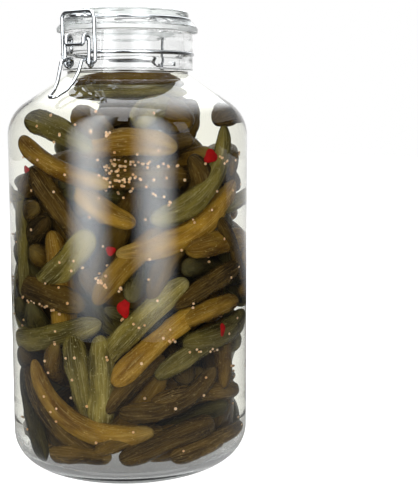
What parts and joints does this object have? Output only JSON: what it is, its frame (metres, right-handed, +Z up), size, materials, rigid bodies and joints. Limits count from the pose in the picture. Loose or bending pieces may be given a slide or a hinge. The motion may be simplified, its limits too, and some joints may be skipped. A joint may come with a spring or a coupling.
{
  "type": "clip-top jar",
  "caption": "Big round glass jar with a wide neck, glass lid, rubber gasket and wire clip, full of gherkins in brine.",
  "frame": {"origin": "centre of the base, in the plane the jar stands on", "axes": "+Z up along the jar's axis, the wire clip in front at -Y, the lid's hinge behind at +Y, +X to the right seen from the front"},
  "size_m": [0.171, 0.171, 0.3217],
  "materials": {
    "clear_glass": "clear, smooth pressed glass",
    "brine_with_gherkins": "clear yellowish brine packed with olive green and golden gherkins",
    "gasket_rubber": "matt pale translucent rubber",
    "clip_wire": "bright drawn steel wire"
  },
  "bodies": {
    "jar": {"jar_glass": "clear_glass", "brine": "brine_with_gherkins", "neck_ring": "clip_wire"},
    "lid": {"lid_glass": "clear_glass", "gasket": "gasket_rubber", "lid_ring": "clip_wire"},
    "lever": {"lever": "clip_wire"},
    "bail": {"bail": "clip_wire"}
  },
  "joints": [
    {"name": "lid_hinge", "type": "hinge", "parent": "jar", "child": "lid", "pos_m": [0, 0.056, 0.2857], "axis": [-1, 0, 0], "range_deg": [0, 110]},
    {"name": "lever_pivot", "type": "hinge", "parent": "jar", "child": "lever", "pos_m": [0, -0.0523, 0.2998], "axis": [-1, 0, 0], "range_deg": [0, 110]},
    {"name": "bail_pivot", "type": "hinge", "parent": "lever", "child": "bail", "pos_m": [0, -0.0505, 0.2845], "axis": [-1, 0, 0], "range_deg": [-110, 0]}
  ],
  "couplings": [
    {"joint": "bail_pivot", "follows": "lever_pivot", "ratio": -1}
  ]
}
